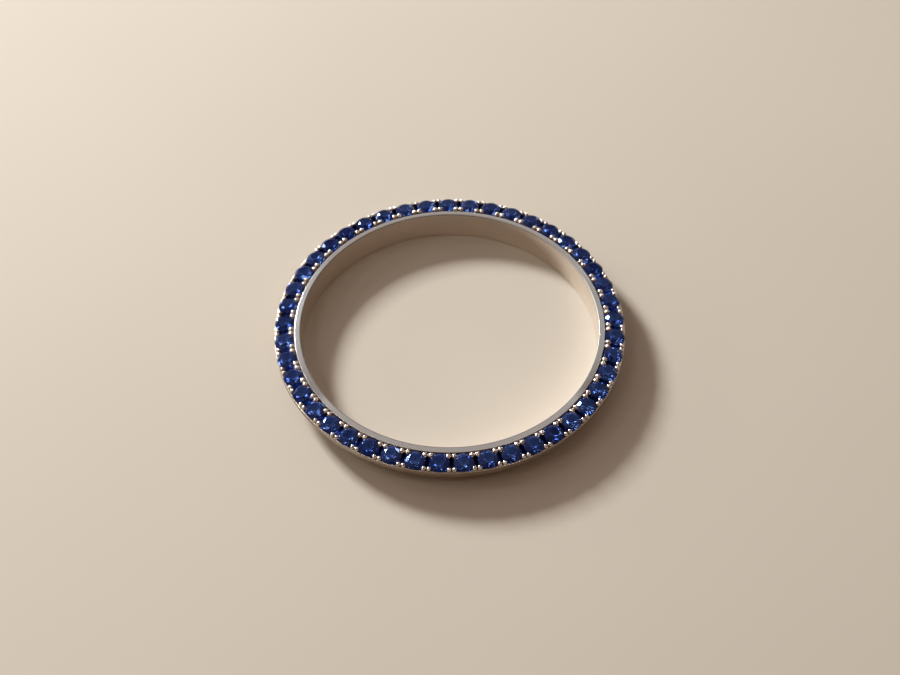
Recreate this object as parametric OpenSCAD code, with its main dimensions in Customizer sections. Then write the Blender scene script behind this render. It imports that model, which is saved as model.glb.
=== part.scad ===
// Full eternity ring: a slim white metal band whose upper side carries one row of
// round brilliant-cut sapphires held by pairs of small beads. It lies on its side:
// the finger axis is +Z and the foot rests on z = 0.

/* [Finger size] */
// Inside diameter of the band
bore_d = 17; // [16:0.25:19]
// Height of the band along the finger axis
band_h = 1.85; // [1.8:0.05:2.4]

/* [Polished rim] */
// Width of the plain rim between the bore and the stones
rim_w = 0.43; // [0.4:0.01:0.6]
// How much the rim falls towards the stones
rim_fall = 0.06; // [0.04:0.01:0.08]
// Bevel broken on the edges of the bore
edge_bevel = 0.05; // [0.03:0.01:0.08]

/* [Stone row] */
// Number of sapphires round the band
stone_count = 45; // [40:1:46]
// Diameter of each sapphire over its girdle
stone_d = 1.12; // [1:0.01:1.14]
// Outward lean of the row from level, in degrees
row_lean = 6; // [3:1:9]
// Width of the stone row, from the rim's edge to the outer face
row_w = 1.07; // [1.05:0.01:1.12]
// Depth of the stones' girdles below the top of the rim
girdle_drop = 0.16; // [0.13:0.01:0.18]

/* [Cut of a stone] */
// Table width as a share of the stone's diameter
table_share = 0.57; // [0.53:0.01:0.62]
// Crown height as a share of the stone's diameter
crown_share = 0.15; // [0.12:0.01:0.17]
// Pavilion depth as a share of the stone's diameter
pavilion_share = 0.43; // [0.4:0.01:0.45]
// Girdle thickness as a share of the stone's diameter
girdle_share = 0.04; // [0.03:0.01:0.05]

/* [Beads] */
// Diameter of the beads next to the rim
inner_bead_d = 0.35; // [0.32:0.01:0.36]
// Diameter of the beads next to the outer lip
outer_bead_d = 0.28; // [0.24:0.01:0.29]
// Distance between the middles of the two beads of a pair
bead_spread = 0.3; // [0.28:0.01:0.32]
// Gap between each stone and the metal round it
seat_gap = 0.02; // [0.01:0.005:0.03]

/* [Outside and foot] */
// Height of the upright outer wall below the lip
wall_h = 0.32; // [0.24:0.02:0.4]
// Width of the flat foot
foot_w = 0.5; // [0.45:0.01:0.6]

/* [Hidden] */
$fn = 96;

function stone_name(i) = str("stone_", i < 10 ? "0" : "", i);

pitch = 360 / stone_count;
first_stone_at = 90;
stone_turn = 137.5;

bore_r = bore_d / 2;
rim_r = bore_r + rim_w;
outer_r = rim_r + row_w;

girdle_r = stone_d / 2;
table_r = table_share * girdle_r;
crown_h = crown_share * stone_d;
pavilion_h = pavilion_share * stone_d;
girdle_h = girdle_share * stone_d;

// Middle of the row, and how far the girdles rise and fall from it through their lean
girdle_overhang = 0.01;
row_r = outer_r - girdle_r + girdle_overhang;
row_z = band_h - girdle_drop;
row_drop = girdle_r * sin(row_lean);

// Channel, lip and outer wall
rim_bevel_w = 0.08;
rim_bevel_h = 0.09;
channel_depth = 0.45;
floor_z = row_z - channel_depth;
lip_w = 0.08;
lip_bevel = 0.03;
lip_below_girdle = 0.06;
lip_z = row_z - row_drop - girdle_h / 2 - lip_below_girdle;
wall_z = lip_z - wall_h;
underside_bulge = 0.12;
underside_steps = 6;

// Places of the beads: in from the rim and the outer face, and down from the girdles
inner_bead_inset = 0.13;
outer_bead_inset = 0.16;
inner_bead_sink = 0.02;
outer_bead_sink = 0.01;
inner_bead_r = rim_r + inner_bead_inset;
outer_bead_r = outer_r - outer_bead_inset;
inner_bead_z = row_z + row_drop - inner_bead_sink;
outer_bead_z = row_z - row_drop - outer_bead_sink;
post_share = 0.72;
post_root = 0.1;

// Points of the rounded underside, from the outer wall down to the foot
function underside(from, to) =
    let (
        chord = to - from,
        arc_half = 2 * atan(2 * underside_bulge / norm(chord)),
        r = norm(chord) / 2 / sin(arc_half),
        along = chord / norm(chord),
        out = [-along[1], along[0]],
        middle = (from + to) / 2 - out * r * cos(arc_half)
    )
    [for (k = [0:underside_steps])
        let (a = arc_half * (2 * k / underside_steps - 1))
        middle + r * (out * cos(a) + along * sin(a))];

// Outline of the bare band, as radius and height
function band_outline() = concat(
    [
        [bore_r, edge_bevel],
        [bore_r, band_h - edge_bevel],
        [bore_r + edge_bevel, band_h],
        [rim_r - rim_bevel_w, band_h - rim_fall],
        [rim_r, band_h - rim_fall - rim_bevel_h],
        [rim_r, floor_z],
        [outer_r - lip_w, floor_z],
        [outer_r - lip_w, lip_z],
        [outer_r - lip_bevel, lip_z],
        [outer_r, lip_z - lip_bevel]
    ],
    underside([outer_r, wall_z], [bore_r + foot_w, 0]),
    [[bore_r + edge_bevel, 0]]
);

module bare_band() {
    rotate_extrude() polygon(band_outline());
}

// Moves its children to the seat of stone i, with +Z out through the table
module at_seat(i) {
    rotate([0, 0, first_stone_at + (i - 1) * pitch])
        translate([row_r, 0, row_z])
            rotate([0, row_lean, 0]) children();
}

// Room for one stone: its pavilion, its girdle band and its crown, each a little larger,
// and a clear way out above its table
module seat_room() {
    room_r = girdle_r + seat_gap;
    band_half = girdle_h / 2 + seat_gap;
    top_z = crown_h + girdle_h / 2 + seat_gap;
    depth = pavilion_h * room_r / girdle_r;
    way_out = 0.3;
    rotate_extrude() polygon([
        [0, -band_half - depth],
        [room_r, -band_half],
        [room_r, band_half],
        [table_r + seat_gap, top_z],
        [table_r + seat_gap, top_z + way_out],
        [0, top_z + way_out]
    ]);
}

// One bead: a short post with a round head, rooted in the floor of the channel
module bead(d, head_z) {
    root_z = floor_z - post_root;
    translate([0, 0, head_z])
        rotate_extrude($fn = 32)
            intersection() {
                union() {
                    circle(d = d, $fn = 32);
                    translate([0, root_z - head_z])
                        square([d * post_share / 2, head_z - root_z]);
                }
                translate([0, root_z - head_z]) square([d, head_z - root_z + d]);
            }
}

// The two pairs of beads in the gap that follows stone i
module gap_beads(i) {
    rotate([0, 0, first_stone_at + (i - 0.5) * pitch])
        for (side = [-1, 1]) {
            translate([inner_bead_r, side * bead_spread / 2, 0])
                bead(inner_bead_d, inner_bead_z);
            translate([outer_bead_r, side * bead_spread / 2, 0])
                bead(outer_bead_d, outer_bead_z);
        }
}

// The band with its rim, channel, lip and beads, all one piece of metal
module band() {
    color("gainsboro")
        difference() {
            union() {
                bare_band();
                for (i = [1:stone_count]) gap_beads(i);
            }
            for (i = [1:stone_count]) at_seat(i) seat_room();
        }
}

// Round brilliant: table, 8 stars, 8 kites, 16 upper halves, girdle, 16 lower halves, 8 mains
mains = 8;
facet_turn = 360 / mains;
half_turn = facet_turn / 2;
star_r = (table_r * cos(half_turn) + girdle_r) / 2;
tip_share = 0.24;
tip_r = tip_share * girdle_r;

function ring_points(count, r, z, from) =
    [for (k = [0:count - 1]) let (a = from + k * 360 / count) [r * cos(a), r * sin(a), z]];

// Heights at which the four corners of a kite facet lie in one plane
function star_z() =
    let (top = crown_h + girdle_h / 2)
    top - (star_r * cos(half_turn) - table_r) * crown_h / (girdle_r - table_r);
function tip_z() =
    let (culet = -pavilion_h - girdle_h / 2)
    culet + tip_r * cos(half_turn) * pavilion_h / girdle_r;

function brilliant_points() = concat(
    ring_points(mains, table_r, crown_h + girdle_h / 2, 0),
    ring_points(mains, star_r, star_z(), half_turn),
    ring_points(2 * mains, girdle_r, girdle_h / 2, 0),
    ring_points(2 * mains, girdle_r, -girdle_h / 2, 0),
    ring_points(mains, tip_r, tip_z(), half_turn),
    [[0, 0, -pavilion_h - girdle_h / 2]]
);

function table_at(k) = (k + mains) % mains;
function star_at(k) = mains + (k + mains) % mains;
function upper_at(j) = 2 * mains + (j + 2 * mains) % (2 * mains);
function lower_at(j) = 4 * mains + (j + 2 * mains) % (2 * mains);
function tip_at(k) = 6 * mains + (k + mains) % mains;
culet_at = 7 * mains;

function brilliant_faces() = concat(
    [[for (k = [mains - 1:-1:0]) table_at(k)]],
    [for (k = [0:mains - 1]) [table_at(k + 1), star_at(k), table_at(k)]],
    [for (k = [0:mains - 1]) [table_at(k), star_at(k), upper_at(2 * k), star_at(k - 1)]],
    [for (k = [0:mains - 1]) [star_at(k), upper_at(2 * k + 1), upper_at(2 * k)]],
    [for (k = [0:mains - 1]) [star_at(k), upper_at(2 * k + 2), upper_at(2 * k + 1)]],
    [for (j = [0:2 * mains - 1]) [upper_at(j), upper_at(j + 1), lower_at(j + 1), lower_at(j)]],
    [for (k = [0:mains - 1]) [tip_at(k), lower_at(2 * k), lower_at(2 * k + 1)]],
    [for (k = [0:mains - 1]) [tip_at(k), lower_at(2 * k + 1), lower_at(2 * k + 2)]],
    [for (k = [0:mains - 1]) [culet_at, tip_at(k - 1), lower_at(2 * k), tip_at(k)]]
);

// Each stone is turned a little further in its seat than the one before it
module stone(i) {
    color("midnightblue")
        at_seat(i)
            rotate([0, 0, i * stone_turn])
                polyhedron(brilliant_points(), brilliant_faces());
}

band();
for (i = [1:stone_count])
    stone(i);
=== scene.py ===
# Sapphire eternity ring, lying on its side on a pale floor
import math

import bpy
from mathutils import Matrix, Vector


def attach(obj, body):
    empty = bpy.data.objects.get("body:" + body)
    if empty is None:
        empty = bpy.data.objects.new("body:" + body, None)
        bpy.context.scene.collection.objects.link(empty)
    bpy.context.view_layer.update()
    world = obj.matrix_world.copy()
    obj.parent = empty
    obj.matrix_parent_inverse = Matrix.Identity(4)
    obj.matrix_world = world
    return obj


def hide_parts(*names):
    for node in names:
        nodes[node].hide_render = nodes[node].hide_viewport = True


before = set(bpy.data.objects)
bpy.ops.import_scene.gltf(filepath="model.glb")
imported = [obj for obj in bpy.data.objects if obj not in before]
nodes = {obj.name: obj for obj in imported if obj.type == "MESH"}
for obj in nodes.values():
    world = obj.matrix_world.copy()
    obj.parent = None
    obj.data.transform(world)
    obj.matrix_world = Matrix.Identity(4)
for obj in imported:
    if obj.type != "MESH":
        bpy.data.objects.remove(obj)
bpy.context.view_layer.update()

# The metal is modelled in millimetres and made metres when it is done
MM = 0.001
# Differences that count as none: in a test, in a merge or an angle, and where pitches join
NEAR = 0.001
MERGE = 0.00001
PITCH_MERGE = 0.0004

# Driving sizes, as in the part's source
STONES = 45
STONE_D = 1.12
BORE_D = 17
BAND_H = 1.85
RIM_W = 0.43
RIM_FALL = 0.06
EDGE_BEVEL = 0.05
ROW_W = 1.07
ROW_LEAN = 6
GIRDLE_DROP = 0.16
WALL_H = 0.32
FOOT_W = 0.5
FIRST_STONE_AT = 90

# Cut of a stone: widths and heights as shares of its diameter
TABLE_SHARE = 0.57
CROWN_SHARE = 0.15
PAVILION_SHARE = 0.43
GIRDLE_SHARE = 0.04

# Smaller sizes of the metal, as in the part's source
GIRDLE_OVERHANG = 0.01
RIM_BEVEL_W = 0.08
RIM_BEVEL_H = 0.09
CHANNEL_DEPTH = 0.45
LIP_W = 0.08
LIP_BEVEL = 0.03
LIP_BELOW_GIRDLE = 0.06
UNDERSIDE_BULGE = 0.12
UNDERSIDE_STEPS = 6
POST_ROOT = 0.1

# Stones, measured from their own middle
PITCH = 360 / STONES
GIRDLE_R = STONE_D / 2
GIRDLE_HALF = GIRDLE_SHARE * STONE_D / 2
CROWN_TOP = CROWN_SHARE * STONE_D + GIRDLE_HALF
PAVILION_H = PAVILION_SHARE * STONE_D
TABLE_R = TABLE_SHARE * GIRDLE_R

# Outline of the metal and the middle of the row, as radii and heights
BORE_R = BORE_D / 2
RIM_R = BORE_R + RIM_W
RIM_EDGE_R = RIM_R - RIM_BEVEL_W
RIM_EDGE_Z = BAND_H - RIM_FALL
RIM_BEVEL_Z = RIM_EDGE_Z - RIM_BEVEL_H
OUTER_R = RIM_R + ROW_W
ROW_R = OUTER_R - GIRDLE_R + GIRDLE_OVERHANG
ROW_Z = BAND_H - GIRDLE_DROP
ROW_DROP = GIRDLE_R * math.sin(math.radians(ROW_LEAN))
CHANNEL_Z = ROW_Z - CHANNEL_DEPTH
LIP_IN_R = OUTER_R - LIP_W
# The lip's height is a whole number of microns
LIP_Z = round(ROW_Z - ROW_DROP - GIRDLE_HALF - LIP_BELOW_GIRDLE, 3)
WALL_Z = LIP_Z - WALL_H
FOOT_R = BORE_R + FOOT_W

# How far the edges are eased
UPPER_EASING = 0.012
BORE_EASING = 0.03
FOOT_EASING = 0.03

# Room round a stone, and its clear way out above the table
SEAT_GAP = 0.014
WAY_OUT = 0.3
SEAT_SIDES = 48
CULET_SHARE = 0.05

# Beads: radius, distance from the middle of the ring, height, half the spread of a pair
INNER_BEAD = (0.174, RIM_R + 0.13, ROW_Z + 0.0385, 0.160)
OUTER_BEAD = (0.138, OUTER_R - 0.16, ROW_Z - 0.0685, 0.142)
BEAD_SIDES = 12
BEAD_RINGS = 10
# How far below its middle a bead turns into its post, as a share of its radius
POST_SHARE = 0.59
POST_FOOT_Z = CHANNEL_Z - POST_ROOT

# Steps in one pitch of the band, and the angle up to which its faces are shaded smooth
PITCH_STEPS = 8
SMOOTH_ANGLE = 40

# Order of the finishes on the band
RIM = 0
EASED = 1
BRIGHT = 2
POLISHED = 3
BEAD = 4
CREVICE = 5
CHANNEL = 6
OUTSIDE = 7

# How much a face looks up, or out, to count as level, as a bevel, sloping or turned
LEVEL = 0.9
BEVELLED = 0.7
SLOPING = 0.3
TURNED_UP = 0.05
TURNED_DOWN = -0.02
# How far below the girdles the beads' bright finish and the crevices' painted shade reach
BEAD_REACH = 0.03
CREVICE_REACH = 0.10

# Side of the floor, in metres
FLOOR_SIDE = 1.2

# Lamps: distances from the ring, and widths and heights of the soft boxes, in metres
LAMP_AWAY = 0.30
FRAME_AWAY = 0.43
KEY_BOX = (0.06, 0.06)
SPARK_BOX = (0.028, 0.028)
WIDE_BOX = (0.39, 0.128)
TALL_BOX = (0.114, 0.207)
SPARK_COLOUR = (1.0, 0.92, 0.84)


def deselect_all():
    bpy.ops.object.select_all(action="DESELECT")


def activate(piece):
    deselect_all()
    piece.select_set(True)
    bpy.context.view_layer.objects.active = piece


def edit(piece):
    activate(piece)
    bpy.ops.object.mode_set(mode="EDIT")


def leave_edit():
    bpy.ops.object.mode_set(mode="OBJECT")


def clear_selection(piece):
    for part in (piece.data.vertices, piece.data.edges, piece.data.polygons):
        for item in part:
            item.select = False


def select_points(piece, wanted):
    """In edit mode, selects the points whose place passes the test."""
    leave_edit()
    clear_selection(piece)
    for point in piece.data.vertices:
        point.select = wanted(point.co)
    bpy.ops.object.mode_set(mode="EDIT")
    bpy.ops.mesh.select_mode(type="VERT")


def select_faces(piece, wanted):
    """In edit mode, selects the faces whose middle and normal pass the test."""
    bpy.ops.mesh.select_mode(type="FACE")
    leave_edit()
    clear_selection(piece)
    for face in piece.data.polygons:
        face.select = wanted(face.center, face.normal)
    bpy.ops.object.mode_set(mode="EDIT")


def ease_points(piece, wanted, offset, segments):
    """In edit mode, rounds the outline's corners that pass the test."""
    select_points(piece, wanted)
    bpy.ops.mesh.bevel(
        offset=offset, offset_type="OFFSET", segments=segments, affect="VERTICES"
    )


def push(value):
    """Extrudes what is selected and moves the new end."""
    bpy.ops.mesh.extrude_region_move(TRANSFORM_OT_translate={"value": value})


def squeeze(share, center):
    """Narrows what is selected towards a centre."""
    bpy.ops.transform.resize(value=(share, share, 1), center_override=center)


def apply_modifiers(piece):
    activate(piece)
    for modifier in list(piece.modifiers):
        bpy.ops.object.modifier_apply(modifier=modifier.name)


def place(piece, location, rotation=(0, 0, 0)):
    """Puts a piece in its place and makes that place its mesh's own."""
    piece.location = location
    piece.rotation_euler = rotation
    activate(piece)
    bpy.ops.object.transform_apply(location=True, rotation=True, scale=True)


# Metal band

def underside_points():
    """The rounded underside, from the foot of the outer wall to the flat foot."""
    start = Vector((OUTER_R, WALL_Z))
    end = Vector((FOOT_R, 0))
    chord = end - start
    length = chord.length
    arc_half = 2 * math.atan(2 * UNDERSIDE_BULGE / length)
    radius = length / 2 / math.sin(arc_half)
    along = chord / length
    out = Vector((-along.y, along.x))
    middle = (start + end) / 2 - out * radius * math.cos(arc_half)
    points = []
    for step in range(UNDERSIDE_STEPS + 1):
        turn = arc_half * (2 * step / UNDERSIDE_STEPS - 1)
        point = middle + radius * (out * math.cos(turn) + along * math.sin(turn))
        points.append((point.x, point.y))
    return points


def band_outline():
    return [
        (BORE_R, EDGE_BEVEL),
        (BORE_R, BAND_H - EDGE_BEVEL),
        (BORE_R + EDGE_BEVEL, BAND_H),
        (RIM_EDGE_R, RIM_EDGE_Z),
        (RIM_R, RIM_BEVEL_Z),
        (RIM_R, CHANNEL_Z),
        (LIP_IN_R, CHANNEL_Z),
        (LIP_IN_R, LIP_Z),
        (OUTER_R - LIP_BEVEL, LIP_Z),
        (OUTER_R, LIP_Z - LIP_BEVEL),
    ] + underside_points() + [(BORE_R + EDGE_BEVEL, 0)]


def draw_band_segment():
    """One pitch of the bare band: its outline is drawn point by point and spun."""
    outline = band_outline()

    # A small plane that is merged to its centre gives the first point
    bpy.ops.mesh.primitive_plane_add(size=0.1, location=(0, 0, 0))
    segment = bpy.context.object
    segment.name = "band_metal"
    bpy.ops.object.mode_set(mode="EDIT")
    bpy.ops.mesh.select_mode(type="VERT")
    bpy.ops.mesh.merge(type="CENTER")
    bpy.ops.transform.translate(value=(outline[0][0], 0, outline[0][1]))
    for here, there in zip(outline, outline[1:]):
        push((there[0] - here[0], 0, there[1] - here[1]))
    bpy.ops.mesh.select_all(action="SELECT")
    bpy.ops.mesh.edge_face_add()

    # The edges that a polisher's wheel has eased
    def upper_edge(point):
        rim = point.x > RIM_EDGE_R - NEAR and point.z > RIM_BEVEL_Z - NEAR
        lip = point.x > LIP_IN_R - NEAR and point.z > LIP_Z - LIP_BEVEL - NEAR
        return rim or lip

    def bore_edge(point):
        return point.x < BORE_R + EDGE_BEVEL + NEAR and point.z > BAND_H / 2

    def foot_edge(point):
        return point.z < EDGE_BEVEL + NEAR

    ease_points(segment, upper_edge, UPPER_EASING, segments=2)
    ease_points(segment, bore_edge, BORE_EASING, segments=3)
    ease_points(segment, foot_edge, FOOT_EASING, segments=2)
    bpy.ops.mesh.select_all(action="SELECT")
    bpy.ops.mesh.delete(type="ONLY_FACE")
    bpy.ops.mesh.select_all(action="SELECT")
    bpy.ops.mesh.spin(
        steps=PITCH_STEPS, angle=math.radians(PITCH), center=(0, 0, 0), axis=(0, 0, 1)
    )
    bpy.ops.mesh.select_all(action="SELECT")
    bpy.ops.mesh.remove_doubles(threshold=MERGE)
    bpy.ops.mesh.select_all(action="SELECT")
    bpy.ops.mesh.fill_holes(sides=0)
    bpy.ops.mesh.select_all(action="SELECT")
    bpy.ops.mesh.normals_make_consistent(inside=False)
    leave_edit()

    # Spin turned the outline one way or the other, and the seat has to be in the middle
    lowest, highest = segment.bound_box[0], segment.bound_box[6]
    spun_to = math.copysign(PITCH / 2, lowest[1] + highest[1])
    place(segment, (0, 0, 0), (0, 0, -math.radians(spun_to)))
    return segment


def make_bead(size, side):
    """A ball whose lower part is drawn down into a post."""
    radius, from_middle, height, half_spread = size
    bpy.ops.mesh.primitive_uv_sphere_add(
        segments=BEAD_SIDES, ring_count=BEAD_RINGS, radius=radius, location=(0, 0, 0)
    )
    bead = bpy.context.object
    bead.name = "bead"
    post_top = -POST_SHARE * radius
    margin = 0.1 * radius
    edit(bead)

    # What lies below the circle of points at the post's top goes, and the circle is closed
    select_points(bead, lambda point: point.z < post_top - margin)
    bpy.ops.mesh.delete(type="VERT")
    select_points(bead, lambda point: point.z < post_top + margin)
    bpy.ops.mesh.edge_face_add()
    push((0, 0, POST_FOOT_Z - height - post_top))
    bpy.ops.mesh.select_all(action="SELECT")
    bpy.ops.mesh.normals_make_consistent(inside=False)
    leave_edit()
    place(bead, (from_middle, side * half_spread, height))
    return bead


def bead_at_border(size, side):
    """A bead turned to the segment's own edge, where its pair stands."""
    bead = make_bead(size, -side)
    place(bead, (0, 0, 0), (0, 0, side * math.radians(PITCH / 2)))
    return bead


def make_seat_room():
    """The room that a stone takes: pavilion, girdle, crown and the way out above."""
    room_r = GIRDLE_R + SEAT_GAP
    band_half = GIRDLE_HALF + SEAT_GAP
    bpy.ops.mesh.primitive_circle_add(
        vertices=SEAT_SIDES, radius=room_r, fill_type="NGON", location=(0, 0, -band_half)
    )
    room = bpy.context.object
    room.name = "seat_room"
    bpy.ops.object.transform_apply(location=True, rotation=True, scale=True)
    edit(room)
    bpy.ops.mesh.select_all(action="SELECT")
    push((0, 0, 2 * band_half))
    push((0, 0, CROWN_TOP + SEAT_GAP - band_half))
    squeeze((TABLE_R + SEAT_GAP) / room_r, (0, 0, CROWN_TOP))
    push((0, 0, WAY_OUT))

    def girdle_floor(middle, normal):
        return middle.z < NEAR - band_half and abs(normal.z) > LEVEL

    select_faces(room, girdle_floor)
    push((0, 0, -(1 - CULET_SHARE) * PAVILION_H))
    squeeze(CULET_SHARE, (0, 0, -PAVILION_H))
    bpy.ops.mesh.select_all(action="SELECT")
    bpy.ops.mesh.normals_make_consistent(inside=False)
    leave_edit()
    place(room, (ROW_R, 0, ROW_Z), (0, math.radians(ROW_LEAN), 0))
    return room


def cut_or_join(piece, tool, operation):
    activate(piece)
    change = piece.modifiers.new(operation.lower(), "BOOLEAN")
    change.operation = operation
    change.object = tool
    change.solver = "EXACT"
    apply_modifiers(piece)
    bpy.data.objects.remove(tool)


def trim_to_pitch(segment):
    """Cuts the beads off where the next pitch's beads go on."""
    half = math.radians(PITCH / 2)
    edit(segment)
    for side in (-1, 1):
        bpy.ops.mesh.select_all(action="SELECT")
        bpy.ops.mesh.bisect(
            plane_co=(0, 0, 0),
            plane_no=(-side * math.sin(half), math.cos(half), 0),
            use_fill=False,
            clear_inner=side < 0,
            clear_outer=side > 0,
            threshold=MERGE,
        )
    leave_edit()


def finish_of(middle, normal):
    """Which finish a face of the segment has, by its place and the way it looks; the darker
    finishes paint shade on edges, bevels, recesses, the outside and the beads' lower sides.
    """
    from_middle = math.hypot(middle.x, middle.y)
    outward = (middle.x * normal.x + middle.y * normal.y) / from_middle
    lean = math.radians(ROW_LEAN)
    above_girdle = (
        (middle.z - ROW_Z) * math.cos(lean) + (middle.x - ROW_R) * math.sin(lean)
    )
    outer = from_middle > LIP_IN_R + NEAR
    # The rim's side towards the row: nearly level eased faces are bright, the steeper bevel
    # gets the crevice's painted shade
    if outward > SLOPING and from_middle < RIM_R + NEAR and middle.z > CHANNEL_Z:
        return BRIGHT if normal.z > BEVELLED else CREVICE
    if from_middle < RIM_EDGE_R + 2 * NEAR:
        if normal.z > LEVEL:
            return RIM
        # Eased edges take the darker eased finish, painted shade; the bore takes polished
        # metal
        return EASED if normal.z > TURNED_UP else POLISHED
    # Faces that look up by the girdles, the beads' tops among them, keep the bright bead
    # metal
    if above_girdle > -BEAD_REACH and normal.z > SLOPING:
        return BEAD
    if outer and normal.z > SLOPING and middle.z > LIP_Z - LIP_BEVEL:
        return BRIGHT
    # The outer wall and the underside get the outside's painted shade
    if outer or (middle.z < WALL_Z and normal.z < TURNED_DOWN):
        return OUTSIDE
    # The beads' lower sides and the channel walls get painted shade: the crevice's near the
    # girdles, the blue-tinted channel's deeper
    return CREVICE if above_girdle > -CREVICE_REACH else CHANNEL


def make_pitch():
    """One pitch of the band: its bare metal, its beads and the room for its stone."""
    segment = draw_band_segment()
    for side in (-1, 1):
        cut_or_join(segment, bead_at_border(INNER_BEAD, side), "UNION")
        cut_or_join(segment, bead_at_border(OUTER_BEAD, side), "UNION")
    cut_or_join(segment, make_seat_room(), "DIFFERENCE")
    trim_to_pitch(segment)
    return segment


def give_finishes(segment, finishes):
    segment.data.materials.clear()
    for finish in finishes:
        segment.data.materials.append(finish)
    for face in segment.data.polygons:
        face.material_index = finish_of(face.center, face.normal)


def repeat_round_the_ring(segment):
    """Takes off the faces between one pitch and the next, and joins copies in a circle."""
    half = math.radians(PITCH / 2)

    def at_border(middle, normal):
        angle = abs(math.atan2(middle.y, middle.x))
        return abs(angle - half) < MERGE and abs(normal.z) < NEAR

    edit(segment)
    select_faces(segment, at_border)
    bpy.ops.mesh.delete(type="ONLY_FACE")
    bpy.ops.mesh.select_mode(type="VERT")
    bpy.ops.mesh.select_all(action="SELECT")
    bpy.ops.mesh.spin(
        steps=STONES - 1,
        dupli=True,
        angle=math.radians(360 - PITCH),
        center=(0, 0, 0),
        axis=(0, 0, 1),
    )
    bpy.ops.mesh.select_all(action="SELECT")
    bpy.ops.mesh.remove_doubles(threshold=PITCH_MERGE)
    bpy.ops.mesh.select_all(action="SELECT")
    bpy.ops.mesh.normals_make_consistent(inside=False)
    leave_edit()
    place(segment, (0, 0, 0), (0, 0, math.radians(FIRST_STONE_AT)))


def make_band_metal(finishes):
    """The whole band, shaded smooth and in metres."""
    metal = make_pitch()
    give_finishes(metal, finishes)
    repeat_round_the_ring(metal)
    bpy.ops.object.shade_smooth_by_angle(angle=math.radians(SMOOTH_ANGLE))
    evened = metal.modifiers.new("evened", "WEIGHTED_NORMAL")
    evened.keep_sharp = True
    evened.weight = 80
    evened.thresh = 0.003
    apply_modifiers(metal)
    metal.scale = (MM, MM, MM)
    place(metal, (0, 0, 0))
    return metal


# Finishes

def new_finish(name, metallic=0.0):
    """A material, its node tree, its shader and the place on the piece."""
    finish = bpy.data.materials.new(name)
    finish.use_nodes = True
    made = finish.node_tree.nodes
    shader = made["Principled BSDF"]
    shader.inputs["Metallic"].default_value = metallic
    where = made.new("ShaderNodeTexCoord")
    return finish, finish.node_tree, shader, where.outputs["Object"]


def noise(tree, where, scale, detail=2.0, roughness=0.5):
    made = tree.nodes.new("ShaderNodeTexNoise")
    made.inputs["Scale"].default_value = scale
    made.inputs["Detail"].default_value = detail
    made.inputs["Roughness"].default_value = roughness
    tree.links.new(where, made.inputs["Vector"])
    return made.outputs["Fac"]


def spread(tree, value, low, high, start=0.0, end=1.0):
    """Stretches a value between two bounds over another pair of bounds."""
    made = tree.nodes.new("ShaderNodeMapRange")
    made.inputs["From Min"].default_value = start
    made.inputs["From Max"].default_value = end
    made.inputs["To Min"].default_value = low
    made.inputs["To Max"].default_value = high
    tree.links.new(value, made.inputs["Value"])
    return made.outputs["Result"]


def worked_out(tree, kind, first, second):
    """The sum or product of two values, or the root of the first."""
    made = tree.nodes.new("ShaderNodeMath")
    made.operation = kind
    for socket, value in zip(made.inputs, (first, second)):
        if isinstance(value, (int, float)):
            socket.default_value = value
        else:
            tree.links.new(value, socket)
    return made.outputs["Value"]


def blend_of(tree, share, first, second):
    """A colour between two others."""
    made = tree.nodes.new("ShaderNodeMix")
    made.data_type = "RGBA"
    made.inputs["A"].default_value = (*first, 1)
    made.inputs["B"].default_value = (*second, 1)
    tree.links.new(share, made.inputs["Factor"])
    return made.outputs["Result"]


def relief(tree, shader, height, depth, strength):
    """Small heights and hollows that only bend the light."""
    made = tree.nodes.new("ShaderNodeBump")
    made.inputs["Strength"].default_value = strength
    made.inputs["Distance"].default_value = depth
    tree.links.new(height, made.inputs["Height"])
    tree.links.new(made.outputs["Normal"], shader.inputs["Normal"])


def round_the_ring(tree, where, across, along):
    """Coordinates that run across the rim much faster than along it."""
    parts = tree.nodes.new("ShaderNodeSeparateXYZ")
    tree.links.new(where, parts.inputs["Vector"])
    x_part, y_part, z_part = parts.outputs
    x_square = worked_out(tree, "MULTIPLY", x_part, x_part)
    y_square = worked_out(tree, "MULTIPLY", y_part, y_part)
    radius = worked_out(tree, "SQRT", worked_out(tree, "ADD", x_square, y_square), 0.0)
    outwards = worked_out(tree, "MULTIPLY", radius, across)
    upwards = worked_out(tree, "MULTIPLY", z_part, across)
    joined = tree.nodes.new("ShaderNodeCombineXYZ")
    tree.links.new(worked_out(tree, "ADD", outwards, upwards), joined.inputs["X"])
    tree.links.new(worked_out(tree, "MULTIPLY", x_part, along), joined.inputs["Y"])
    tree.links.new(worked_out(tree, "MULTIPLY", y_part, along), joined.inputs["Z"])
    return joined.outputs["Vector"]


def satin_rim_finish():
    """White gold that has been run on a fine wheel: hair lines round the ring."""
    finish, tree, shader, where = new_finish("satin_rim", metallic=1.0)
    round_it = round_the_ring(tree, where, across=26000, along=260)
    lines = noise(tree, round_it, 1.0, detail=3.0, roughness=0.6)
    wear = noise(tree, where, 900, detail=3.0)
    colour = blend_of(tree, wear, (0.65, 0.68, 0.69), (0.73, 0.76, 0.77))
    tree.links.new(colour, shader.inputs["Base Color"])
    rough = worked_out(
        tree, "ADD", spread(tree, lines, 0.08, 0.12), spread(tree, wear, 0.0, 0.03)
    )
    tree.links.new(rough, shader.inputs["Roughness"])
    relief(tree, shader, lines, depth=0.000002, strength=0.5)
    return finish


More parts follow.
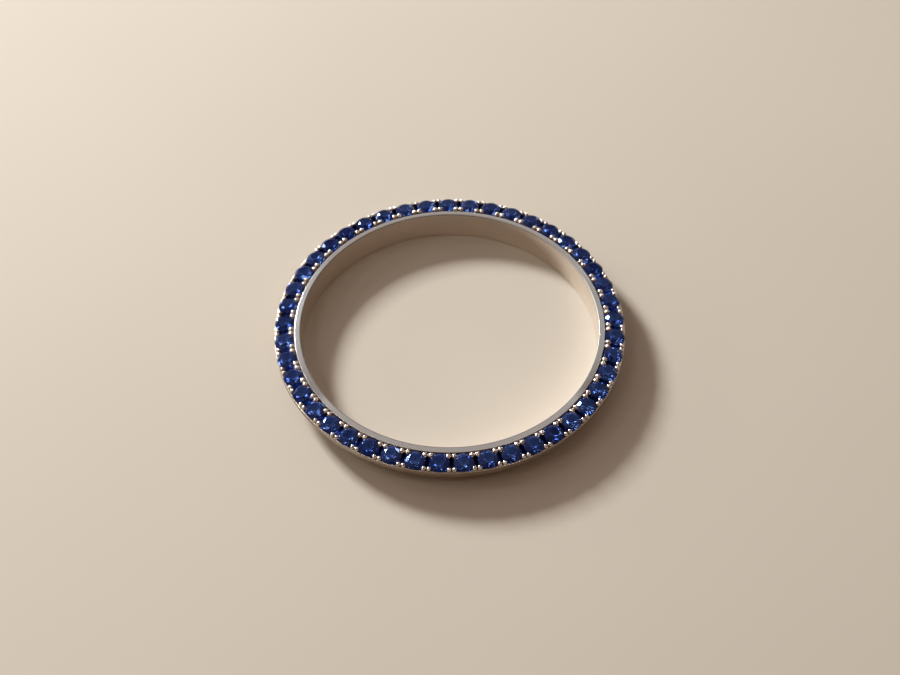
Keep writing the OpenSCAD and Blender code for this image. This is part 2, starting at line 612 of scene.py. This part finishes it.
def polished_finish(name, darker, lighter, smoothest, roughest):
    """White gold of the bore, or of an edge, with faint waves."""
    finish, tree, shader, where = new_finish(name, metallic=1.0)
    round_it = round_the_ring(tree, where, across=18000, along=200)
    hair = noise(tree, round_it, 1.0)
    waves = noise(tree, where, 700, detail=1.0)
    colour = blend_of(tree, waves, darker, lighter)
    tree.links.new(colour, shader.inputs["Base Color"])
    tree.links.new(spread(tree, hair, smoothest, roughest), shader.inputs["Roughness"])
    relief(tree, shader, waves, depth=0.00002, strength=0.5)
    return finish


def outside_finish():
    """The lip, the outer wall and the underside: duller metal, with painted shade that makes
    it darker and browner.
    """
    finish, tree, shader, where = new_finish("outside_painted_shade", metallic=1.0)
    wear = noise(tree, where, 1200, detail=3.0)
    # Painted shade: the dark brown colour stands in for the shadowed floor that the outside
    # mirrors
    colour = blend_of(tree, wear, (0.36, 0.285, 0.225), (0.50, 0.42, 0.35))
    tree.links.new(colour, shader.inputs["Base Color"])
    tree.links.new(spread(tree, wear, 0.34, 0.48), shader.inputs["Roughness"])
    relief(tree, shader, wear, depth=0.00002, strength=0.4)
    return finish


def bead_finish():
    """Burnished heads of the beads, the brightest metal on the ring."""
    finish, tree, shader, where = new_finish("burnished_bead", metallic=1.0)
    dents = noise(tree, where, 3600, detail=1.0)
    colour = blend_of(tree, dents, (0.90, 0.88, 0.86), (0.98, 0.96, 0.94))
    tree.links.new(colour, shader.inputs["Base Color"])
    tree.links.new(spread(tree, dents, 0.03, 0.09), shader.inputs["Roughness"])
    relief(tree, shader, dents, depth=0.00002, strength=0.6)
    return finish


def shaded_metal_finish(name, metallic, darker, lighter):
    """Metal that a graver has cut and no polisher reaches: dull with fine marks, and
    darkened with painted shade.
    """
    finish, tree, shader, where = new_finish(name, metallic)
    marks = noise(tree, where, 5000, detail=3.0, roughness=0.6)
    tree.links.new(blend_of(tree, marks, darker, lighter), shader.inputs["Base Color"])
    tree.links.new(spread(tree, marks, 0.25, 0.45), shader.inputs["Roughness"])
    relief(tree, shader, marks, depth=0.00002, strength=0.5)
    return finish


def sapphire_finish():
    """Deep blue sapphire, a little lighter and darker from place to place."""
    finish, tree, shader, where = new_finish("sapphire")
    shader.inputs["Transmission Weight"].default_value = 0.94
    shader.inputs["IOR"].default_value = 1.77
    shader.inputs["Specular Tint"].default_value = (0.20, 0.40, 1.0, 1)
    zones = noise(tree, where, 650)
    zoned = spread(tree, zones, 0.0, 1.0, start=0.35, end=0.65)
    colour = blend_of(tree, zoned, (0.025, 0.072, 0.46), (0.115, 0.235, 0.80))
    tree.links.new(colour, shader.inputs["Base Color"])
    polish = noise(tree, where, 9000, detail=1.0)
    tree.links.new(spread(tree, polish, 0.01, 0.07), shader.inputs["Roughness"])
    return finish


band = make_band_metal(
    [
        satin_rim_finish(),
        # Painted shade: the eased edges are a darker copy of the white gold, so they draw
        # dark lines and dull highlights
        polished_finish("eased_edge_painted_shade", (0.36, 0.35, 0.33), (0.42, 0.41, 0.39), 0.48, 0.56),
        polished_finish("bright_edge", (0.74, 0.72, 0.69), (0.84, 0.82, 0.79), 0.16, 0.28),
        # Partly painted reflection: the bore's warm tint stands in for the warm floor it
        # mirrors; its lightness is the polished metal's own
        polished_finish("polished_bore", (0.85, 0.78, 0.71), (0.93, 0.86, 0.79), 0.06, 0.12),
        bead_finish(),
        # Painted shade: near-black metal by the girdles, on the rim's steeper bevel and on
        # the beads' lower sides
        shaded_metal_finish("crevice_painted_shade", 1.0, (0.10, 0.08, 0.08), (0.22, 0.18, 0.17)),
        # Painted shade with a painted blue reflection of the stones, deep in the channel and
        # the seats
        shaded_metal_finish("channel_painted_blue_shade", 0.4, (0.02, 0.035, 0.11), (0.055, 0.08, 0.20)),
        outside_finish(),
    ]
)
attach(band, "root")
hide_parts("band")

# Stones
sapphire = sapphire_finish()
for name, stone in nodes.items():
    if name.startswith("stone"):
        for slot in stone.material_slots:
            slot.material = sapphire


# Floor, light and camera

def make_floor():
    """A plain pale floor."""
    bpy.ops.mesh.primitive_plane_add(size=FLOOR_SIDE, location=(0, 0, 0))
    floor = bpy.context.object
    floor.name = "floor"
    finish, tree, shader, where = new_finish("pale_floor")
    tone = noise(tree, where, 40)
    colour = blend_of(tree, tone, (0.58, 0.535, 0.455), (0.62, 0.575, 0.495))
    tree.links.new(colour, shader.inputs["Base Color"])
    shader.inputs["Roughness"].default_value = 0.85
    floor.data.materials.append(finish)


def soft_light(name, azimuth, elevation, distance, size, power, colour):
    """A soft box, its width and height in metres, that looks at the ring."""
    turn = math.radians(azimuth)
    rise = math.radians(elevation)
    away = Vector(
        (math.cos(turn) * math.cos(rise), math.sin(turn) * math.cos(rise), math.sin(rise))
    )
    data = bpy.data.lights.new(name, "AREA")
    data.shape = "RECTANGLE"
    data.size, data.size_y = size
    data.energy = power
    data.color = colour
    light = bpy.data.objects.new(name, data)
    light.location = away * distance
    light.rotation_euler = (-away).to_track_quat("-Z", "Y").to_euler()
    bpy.context.scene.collection.objects.link(light)


def surround(colour, strength):
    """Faint even light from all round."""
    world = bpy.data.worlds.new("studio")
    world.use_nodes = True
    back = world.node_tree.nodes["Background"]
    back.inputs["Color"].default_value = (*colour, 1)
    back.inputs["Strength"].default_value = strength
    bpy.context.scene.world = world


def make_camera():
    """A camera at the photograph's own angle and distance, turned a little on its axis."""
    rise = math.radians(51.335)
    tilt = math.radians(-0.8)
    distance = 0.092588
    aim = Vector((0.000012, 0.000488, 0))
    ahead = Vector((0, math.cos(rise), -math.sin(rise)))
    data = bpy.data.cameras.new("camera")
    data.sensor_width = 36
    data.lens = 63.67
    data.clip_start = 0.001
    data.clip_end = 10
    camera = bpy.data.objects.new("camera", data)
    turn = ahead.to_track_quat("-Z", "Y").to_matrix().to_4x4()
    roll = Matrix.Rotation(tilt, 4, "Z")
    camera.matrix_world = Matrix.Translation(aim - ahead * distance) @ turn @ roll
    bpy.context.scene.collection.objects.link(camera)
    bpy.context.scene.camera = camera


make_floor()
surround((1.0, 0.58, 0.38), 0.15)
soft_light("key", 132, 29, LAMP_AWAY, KEY_BOX, 1.30, (0.97, 0.96, 0.95))
# A frame of four soft boxes behind the ring: the rim mirrors it, the tables its dark middle
for name, azimuth, elevation, size, power, colour in (
    ("frame_top", 90, 73.7, WIDE_BOX, 0.053, (1.0, 0.98, 0.97)),
    ("frame_bottom", 90, 28.3, WIDE_BOX, 0.052, (1.0, 0.97, 0.96)),
    ("frame_left", 118.7, 47.3, TALL_BOX, 0.026, (0.95, 0.98, 1.0)),
    ("frame_right", 61.3, 47.3, TALL_BOX, 0.025, (0.93, 0.99, 1.0)),
):
    soft_light(name, azimuth, elevation, FRAME_AWAY, size, power, colour)
# Small lights that strike sparks in the stones and draw the bright edges
for name, azimuth, elevation, power in (
    ("left", 180, 36, 0.02),
    ("left_low", 180, 14, 0.04),
    ("left_high", 181, 50, 0.03),
    ("back_left", 158, 38, 0.03),
    ("back_left_low", 150, 14, 0.04),
    ("back_right_low", 60, 14, 0.03),
    ("back_right", 25, 34, 0.015),
    ("front_left", 210, 36, 0.012),
    ("front_left_top", 203, 59, 0.02),
    ("front_left_high", 225, 58, 0.024),
    ("front_right_high", 315, 58, 0.024),
):
    soft_light(name, azimuth, elevation, LAMP_AWAY, SPARK_BOX, power, SPARK_COLOUR)
make_camera()
bpy.context.scene.view_settings.view_transform = "Standard"
